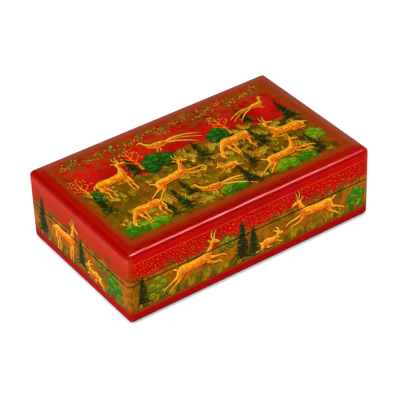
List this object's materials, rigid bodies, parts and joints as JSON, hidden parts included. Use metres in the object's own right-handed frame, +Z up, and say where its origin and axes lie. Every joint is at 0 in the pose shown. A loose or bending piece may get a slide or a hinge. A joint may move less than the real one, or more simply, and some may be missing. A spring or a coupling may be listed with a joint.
{
  "type": "papier mache box",
  "caption": "Rectangular lacquered papier-mache box with rounded edges and a flush lift-off lid that slides over an inner neck; holds trinkets or cards.",
  "frame": {"origin": "middle of the resting face", "axes": "+X along the length, -Y to the front, +Z up"},
  "size_m": [0.203, 0.123, 0.0585],
  "materials": {
    "painted_lacquer": "layered paper board, chalk ground, painted and varnished to a gloss",
    "black_lacquer": "layered paper board, black paint under a satin varnish"
  },
  "bodies": {
    "base": {"base_floor": "painted_lacquer", "base_front_wall": "painted_lacquer", "base_right_wall": "painted_lacquer", "base_back_wall": "painted_lacquer", "base_left_wall": "painted_lacquer", "neck_front": "black_lacquer", "neck_right": "black_lacquer", "neck_back": "black_lacquer", "neck_left": "black_lacquer"},
    "lid": {"lid_top": "painted_lacquer", "lid_front_wall": "painted_lacquer", "lid_right_wall": "painted_lacquer", "lid_back_wall": "painted_lacquer", "lid_left_wall": "painted_lacquer"}
  },
  "joints": [
    {"name": "lid_lift", "type": "slide", "parent": "base", "child": "lid", "axis": [0, 0, 1], "range_m": [0, 0.06]}
  ]
}
